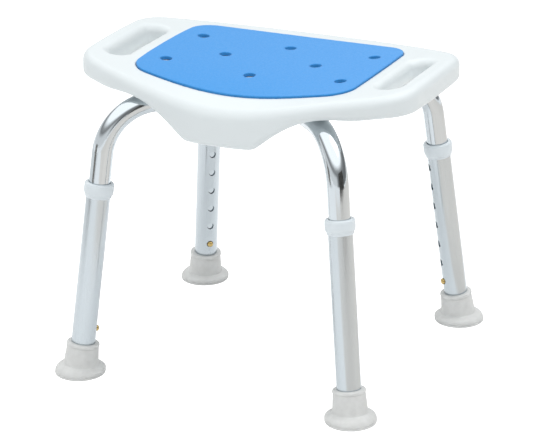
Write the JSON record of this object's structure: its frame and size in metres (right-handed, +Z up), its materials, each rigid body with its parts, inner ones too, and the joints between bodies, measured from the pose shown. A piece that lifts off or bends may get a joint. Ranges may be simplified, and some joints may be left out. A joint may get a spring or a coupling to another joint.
{
  "type": "shower stool",
  "caption": "Backless shower stool: contoured moulded seat with a foam pad and side grip slots, on splayed telescopic legs with snap buttons and rubber feet.",
  "frame": {"origin": "on the floor, at the centre of the footprint of the feet", "axes": "+X along the seat's long side to the sitter's left as they face -Y, -Y towards the front edge, +Z up"},
  "size_m": [0.428, 0.3948, 0.3728],
  "materials": {
    "seat_plastic": "satin moulded polyethylene",
    "pad_foam": "matt closed-cell foam",
    "polished_tube": "polished and anodised",
    "satin_tube": "satin anodised",
    "fitting_plastic": "satin moulded plastic",
    "foot_rubber": "matt grey rubber",
    "brass": "bright",
    "steel": "zinc plated"
  },
  "bodies": {
    "root": {"seat_moulding": "seat_plastic", "seat_pad": "pad_foam", "front_left_upper_tube": "polished_tube", "front_left_tube_end_plug": "fitting_plastic", "front_left_button_spring": "steel", "front_left_inner_screw": "steel", "front_left_inner_saddle": "steel", "front_left_inner_insert": "brass", "front_left_outer_screw": "steel", "front_left_outer_saddle": "steel", "front_left_outer_insert": "brass", "front_right_upper_tube": "polished_tube", "front_right_tube_end_plug": "fitting_plastic", "front_right_button_spring": "steel", "front_right_inner_screw": "steel", "front_right_inner_saddle": "steel", "front_right_inner_insert": "brass", "front_right_outer_screw": "steel", "front_right_outer_saddle": "steel", "front_right_outer_insert": "brass", "rear_left_upper_tube": "polished_tube", "rear_left_tube_end_plug": "fitting_plastic", "rear_left_button_spring": "steel", "rear_left_inner_screw": "steel", "rear_left_inner_saddle": "steel", "rear_left_inner_insert": "brass", "rear_left_outer_screw": "steel", "rear_left_outer_saddle": "steel", "rear_left_outer_insert": "brass", "rear_right_upper_tube": "polished_tube", "rear_right_tube_end_plug": "fitting_plastic", "rear_right_button_spring": "steel", "rear_right_inner_screw": "steel", "rear_right_inner_saddle": "steel", "rear_right_inner_insert": "brass", "rear_right_outer_screw": "steel", "rear_right_outer_saddle": "steel", "rear_right_outer_insert": "brass"},
    "front_left_lower_leg": {"front_left_lower_tube": "satin_tube", "front_left_collar": "fitting_plastic", "front_left_rubber_foot": "foot_rubber", "front_left_foot_washer": "steel"},
    "front_left_button": {"front_left_snap_button": "brass"},
    "front_right_lower_leg": {"front_right_lower_tube": "satin_tube", "front_right_collar": "fitting_plastic", "front_right_rubber_foot": "foot_rubber", "front_right_foot_washer": "steel"},
    "front_right_button": {"front_right_snap_button": "brass"},
    "rear_left_lower_leg": {"rear_left_lower_tube": "satin_tube", "rear_left_collar": "fitting_plastic", "rear_left_rubber_foot": "foot_rubber", "rear_left_foot_washer": "steel"},
    "rear_left_button": {"rear_left_snap_button": "brass"},
    "rear_right_lower_leg": {"rear_right_lower_tube": "satin_tube", "rear_right_collar": "fitting_plastic", "rear_right_rubber_foot": "foot_rubber", "rear_right_foot_washer": "steel"},
    "rear_right_button": {"rear_right_snap_button": "brass"}
  },
  "joints": [
    {"name": "front_left_leg_slide", "type": "slide", "parent": "root", "child": "front_left_lower_leg", "axis": [-0.0959, -0.0911, -0.9912], "range_m": [0, 0.1524]},
    {"name": "front_left_button_press", "type": "slide", "parent": "root", "child": "front_left_button", "axis": [-0.7188, -0.6825, 0.1323], "range_m": [0, 0.005], "stiffness_N_per_m": 800, "springref_m": -0.003, "deforming": ["front_left_button_spring"]},
    {"name": "front_right_leg_slide", "type": "slide", "parent": "root", "child": "front_right_lower_leg", "axis": [0.0959, -0.0911, -0.9912], "range_m": [0, 0.1524]},
    {"name": "front_right_button_press", "type": "slide", "parent": "root", "child": "front_right_button", "axis": [0.7188, -0.6825, 0.1323], "range_m": [0, 0.005], "stiffness_N_per_m": 800, "springref_m": -0.003, "deforming": ["front_right_button_spring"]},
    {"name": "rear_left_leg_slide", "type": "slide", "parent": "root", "child": "rear_left_lower_leg", "axis": [-0.0959, 0.0911, -0.9912], "range_m": [0, 0.1524]},
    {"name": "rear_left_button_press", "type": "slide", "parent": "root", "child": "rear_left_button", "axis": [-0.7188, 0.6825, 0.1323], "range_m": [0, 0.005], "stiffness_N_per_m": 800, "springref_m": -0.003, "deforming": ["rear_left_button_spring"]},
    {"name": "rear_right_leg_slide", "type": "slide", "parent": "root", "child": "rear_right_lower_leg", "axis": [0.0959, 0.0911, -0.9912], "range_m": [0, 0.1524]},
    {"name": "rear_right_button_press", "type": "slide", "parent": "root", "child": "rear_right_button", "axis": [0.7188, 0.6825, 0.1323], "range_m": [0, 0.005], "stiffness_N_per_m": 800, "springref_m": -0.003, "deforming": ["rear_right_button_spring"]}
  ]
}
